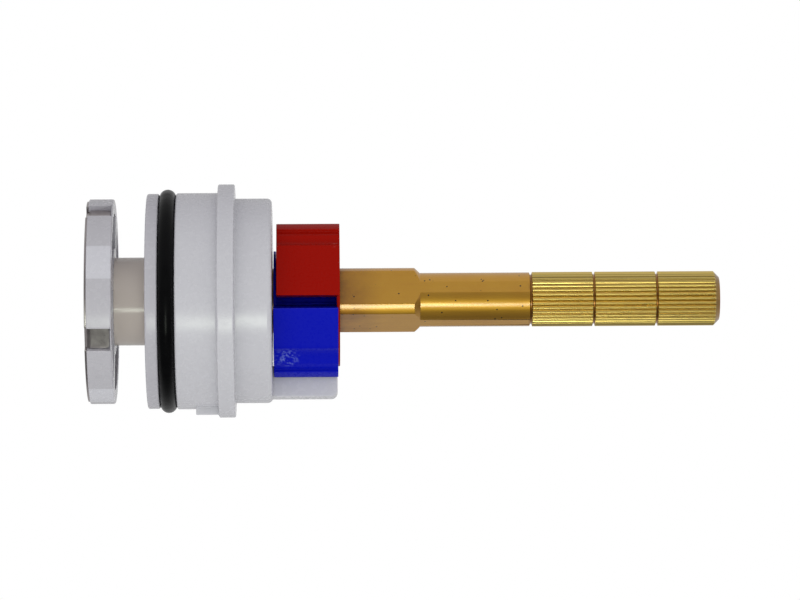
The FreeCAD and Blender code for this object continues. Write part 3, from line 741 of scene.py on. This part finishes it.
def brass():
    """Free-cutting brass, drawn to a square and turned: lengthwise draw lines and a bright satin. A thin
    lacquer whitens the highlight, the bar is browner near the stops, and a few round dark specks show
    tarnish. The cut teeth are yellower and shine more, with painted brown shade between them and in the
    snap-off grooves."""
    made, tree, shader, place = fresh("drawn and turned brass")
    drawn = add(tree, "Mapping", {"Vector": place, "Scale": (0.04, 1.0, 1.0)}).outputs[0]
    lines = noise(tree, drawn, 0.35, 4.0)
    patch = noise(tree, place, 5, 4.0, 0.6)
    along = add(tree, "SeparateXYZ", {"Vector": place}).outputs["X"]
    cut = ramp(tree, along, (TEETH_BACK - 0.3) * MM, (TEETH_BACK + 0.3) * MM)
    toothed = worked(tree, "GREATER_THAN", along, (TEETH_BACK - SNAP_WIDTH) * MM)
    colour = mixed(tree, patch, "#e4a324", "#f2b934")
    for share, tint in (
        (browned(tree, along, patch), "#9c5e1e"),
        (tarnished(tree, place, cut), "#2c1e10"),
        (cut, "#fddc72"),
        # Painted shade: darker brown in the roots of the teeth and in the snap-off grooves.
        (shade_between_teeth(tree, place, toothed), "#a07018"),
        (shade_in_grooves(tree, along, toothed), "#b8760c"),
    ):
        colour = mixed(tree, share, colour, tint)
    dull = ramp(tree, lines, 0.3, 0.7, 0.38, 0.48)
    feed(tree, shader, {
        "Base Color": colour,
        "Roughness": worked(tree, "MULTIPLY_ADD", cut, -0.13, dull),
        "Normal": relief(tree, lines, ramp(tree, cut, 0.0, 1.0, 0.3, 0.06), 0.01),
        "Metallic": 1.0,
        "Coat Weight": 1.0,
        "Coat Roughness": 0.2,
        "Coat IOR": 1.62,
    })
    return made


def stainless():
    """Stainless sheet, rolled and stamped: grey, bright, with cloudy handling marks."""
    made, tree, shader, place = fresh("rolled stainless sheet")
    mark = noise(tree, place, 1.4, 5.0, 0.65)
    feed(tree, shader, {
        "Base Color": mixed(tree, mark, "#a8a1a1", "#ccc5c5"),
        "Roughness": ramp(tree, mark, 0.3, 0.7, 0.26, 0.42),
        "Normal": relief(tree, mark, 0.5, 0.06),
        "Metallic": 1.0,
    })
    return made


def glossy(name, colour, scuffed, rub, reach):
    """Styrene plastic, moulded in a polished tool: deep even colour and gloss. Round one worn place, in
    millimetres, it has pale dusty scuffs."""
    made, tree, shader, place = fresh(name)
    wear = noise(tree, place, 0.5, 6.0, 0.65)
    away = add(tree, "VectorMath", {0: place, 1: [side * MM for side in rub]}, operation="DISTANCE")
    close = ramp(tree, away.outputs["Value"], 0.4 * reach * MM, reach * MM, 1.0, 0.0)
    scuff = worked(tree, "MULTIPLY", ramp(tree, wear, 0.5, 0.62, 0.0, 0.6), close)
    feed(tree, shader, {
        "Base Color": mixed(tree, scuff, colour, scuffed),
        "Roughness": ramp(tree, wear, 0.3, 0.75, 0.22, 0.38),
        "IOR": 1.53,
        "Specular IOR Level": 0.05,
    })
    return made


def soft_sheet(name, pale, deep, fleck, roughness):
    """Skived or pressed sheet: matt, with a fine fleck."""
    made, tree, shader, place = fresh(name)
    fibre = noise(tree, place, fleck, 5.0)
    feed(tree, shader, {
        "Base Color": mixed(tree, fibre, deep, pale),
        "Roughness": roughness,
        "Normal": relief(tree, fibre, 0.3, 0.02),
    })
    return made


def dress(made, finish, body=None, node=None):
    """Gives a piece its finish; a new one rides on its body and stands for its node."""
    made.data.materials.clear()
    made.data.materials.append(finish)
    if body:
        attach(made, body)
        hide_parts(node)


WHITE = acetal("moulded white acetal", "#cecdd4", "#c8c7ce")
# The cap's lip is painted darker than the body: painted shade for where it sits between the seal and the
# disc.
SHADED_WHITE_CAP = acetal("moulded white acetal, painted darker for shade", "#bfbdc5", "#b8b6be")
# The disc's rim is painted darker over the hollows and paler where a spoke backs it: painted light and shade
# for what passes through the thin wall.
WHITE_DISC = acetal("moulded white acetal, painted paler over spokes", "#c1bfc6", "#bab8bf", spoke="#cfced6")
GREY = acetal("moulded grey acetal", "#e6dbd4", "#d8cdc5", grain=0.4, polish=0.12)
BRASS = brass()
STEEL = stainless()
PTFE = soft_sheet("skived fluoropolymer sheet", "#e4e4e0", "#d6d6d1", 0.8, 0.4)

dress(body_shell(), WHITE, "body", "body_shell")
dress(lower_cap(), SHADED_WHITE_CAP, "body", "lower_cap")
dress(body_seal(), nitrile(), "body", "body_seal")
dress(rotor_disc(), WHITE_DISC, "rotor", "rotor_disc")
dress(face_plate(), STEEL, "rotor", "face_plate")
dress(disc_screw(), STEEL, "rotor", "disc_screw")
dress(stem(), BRASS, "rotor", "stem")
BLUE = glossy("moulded blue styrene", "#0813b0", "#7f8fd6", rub=(8.4, -8.3, -9.4), reach=2.4)
RED = glossy("moulded red styrene", "#990d03", "#d08078", rub=(16.4, -8.6, 9.4), reach=1.0)
dress(blue_stop(), BLUE, "cold_limit", "blue_stop")
dress(red_stop(), RED, "hot_limit", "red_stop")

RUBBER = bpy.data.materials["greased nitrile rubber"]
FIBRE = soft_sheet("pressed red fibre", "#7a3a2c", "#5e2a20", 0.25, 0.75)
CARRIED = {
    "spindle": ("grey_acetal", GREY),
    "spindle_seal_inner": ("black_rubber", RUBBER),
    "spindle_seal_outer": ("black_rubber", RUBBER),
    "thrust_washer": ("clear_ptfe", PTFE),
    "clip_washer": ("clear_ptfe", PTFE),
    "retaining_clip": ("stainless", STEEL),
    "stem_pin": ("stainless", STEEL),
    "screw_washer": ("fibre_washer", FIBRE),
}
for node, (slot, finish) in CARRIED.items():
    dress(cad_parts[node], finish)

# Camera: a long lens square on to the stem, a little towards the white body, with a slight roll
EYE = Vector((13.86, -787, 0)) * MM
AIM = Vector((26.98, 0, 0)) * MM
ROLL = 0.33
camera = bpy.data.objects.new("camera", bpy.data.cameras.new("camera"))
bpy.context.scene.collection.objects.link(camera)
camera.data.lens = 216
camera.data.sensor_width = 36
camera.location = EYE
camera.rotation_euler = ((AIM - EYE).to_track_quat("-Z", "Y").to_matrix()
                         @ Matrix.Rotation(math.radians(-ROLL), 3, "Z")).to_euler()
camera.data.clip_start = 0.01
bpy.context.scene.camera = camera

# Light: a fill from all round, stronger from the front, and one small lamp below the camera's height that
# draws the long highlights. What gloss shows is given by the angle above the camera's side: a dim room, a
# dark bench below it, pale card above, and the white backdrop right behind the part. The lamp is a little
# green.
FILL = 0.45
FRONT = 0.96
STUDIO = ((-180, 1.0), (-166, 0.5), (-118, 0.48), (-95, 0.14), (-60, 0.12), (-35, 0.18), (0, 0.22),
          (30, 0.25), (46, 0.46), (90, 0.5), (166, 0.5), (180, 1.0))
LAMP_DISTANCE = 0.55
LAMP_DROP = 22.5
LAMP_SIZE = 0.13
LAMP_POWER = 0.46
LAMP_COLOUR = (0.92, 1.0, 0.86)
FLOOR_DROP = 0.3
FLOOR_HALF = 1.0
FLOOR_GLOW = 0.3
BENCH_EDGE = (0.02, 0.18)
BENCH_SHEEN = 0.13
FLOOR_SHEEN = 0.56
LAMP_PLACE = 0.02


def studio_world():
    """The studio round the part."""
    world = bpy.data.worlds.new("studio")
    bpy.context.scene.world = world
    world.use_nodes = True
    tree = world.node_tree
    towards = add(tree, "SeparateXYZ", {"Vector": add(tree, "TexCoord").outputs["Generated"]})
    soft = ramp(tree, towards.outputs["Y"], -1.0, 0.3, FRONT, FILL, interpolation_type="SMOOTHSTEP")
    nearer = worked(tree, "MULTIPLY", towards.outputs["Y"], -1.0)
    height = worked(tree, "ARCTAN2", towards.outputs["Z"], nearer)
    sheen = add(tree, "ValToRGB", {"Fac": ramp(tree, height, -math.pi, math.pi)})
    stops = sheen.color_ramp.elements
    for (angle, level), stop in zip(STUDIO, [stops[0]] + [stops.new(0.5) for _ in STUDIO[2:]] + [stops[-1]]):
        stop.position = (angle + 180) / 360
        stop.color = (level, level, level, 1)
    path = add(tree, "LightPath")
    mirrored = worked(tree, "MAXIMUM", path.outputs["Is Glossy Ray"], path.outputs["Is Transmission Ray"])
    lit = mixed(tree, mirrored, soft, sheen.outputs["Color"])
    seen = mixed(tree, path.outputs["Is Camera Ray"], lit, "#ffffff")
    feed(tree, tree.nodes["Background"], {"Color": seen})


def lamp():
    """The soft lamp, aimed at the white body."""
    data = bpy.data.lights.new("soft lamp", "AREA")
    data.shape = "DISK"
    data.size = LAMP_SIZE
    data.energy = LAMP_POWER
    data.color = LAMP_COLOUR
    made = bpy.data.objects.new("soft lamp", data)
    bpy.context.scene.collection.objects.link(made)
    drop = math.radians(LAMP_DROP)
    made.location = (LAMP_PLACE, -LAMP_DISTANCE * math.cos(drop), -LAMP_DISTANCE * math.sin(drop))
    made.rotation_euler = (Vector((LAMP_PLACE, 0, 0)) - made.location).to_track_quat("-Z", "Y").to_euler()
    made.visible_camera = False


def floor():
    """Pale floor, well below the part, that the camera sees as nearly white where no shadow falls. Gloss
    shows it as dark as the bench in front of the part, and pale behind."""
    shape = bmesh.new()
    bmesh.ops.create_grid(shape, x_segments=1, y_segments=1, size=FLOOR_HALF)
    bmesh.ops.translate(shape, vec=(0, 0, -FLOOR_DROP), verts=shape.verts)
    mesh = bpy.data.meshes.new("floor")
    shape.to_mesh(mesh)
    shape.free()
    made = bpy.data.objects.new("floor", mesh)
    bpy.context.scene.collection.objects.link(made)
    paint, tree, shader, place = fresh("pale floor")
    path = add(tree, "LightPath")
    glow = worked(tree, "MAXIMUM", path.outputs["Is Camera Ray"], path.outputs["Is Diffuse Ray"])
    feed(tree, shader, {
        "Base Color": linear("#e6e6e6"),
        "Roughness": 0.9,
        "Emission Color": linear("#ffffff"),
        "Emission Strength": worked(tree, "MULTIPLY", glow, FLOOR_GLOW),
    })
    depth = add(tree, "SeparateXYZ", {"Vector": place}).outputs["Y"]
    near, far = BENCH_EDGE
    sheen = add(tree, "Emission", {"Strength": ramp(tree, depth, near, far, BENCH_SHEEN, FLOOR_SHEEN)})
    both = {0: path.outputs["Is Glossy Ray"], 1: shader.outputs[0], 2: sheen.outputs[0]}
    feed(tree, tree.nodes["Material Output"], {"Surface": add(tree, "MixShader", both).outputs[0]})
    mesh.materials.append(paint)


studio_world()
lamp()
floor()
bpy.context.scene.view_settings.view_transform = "Standard"
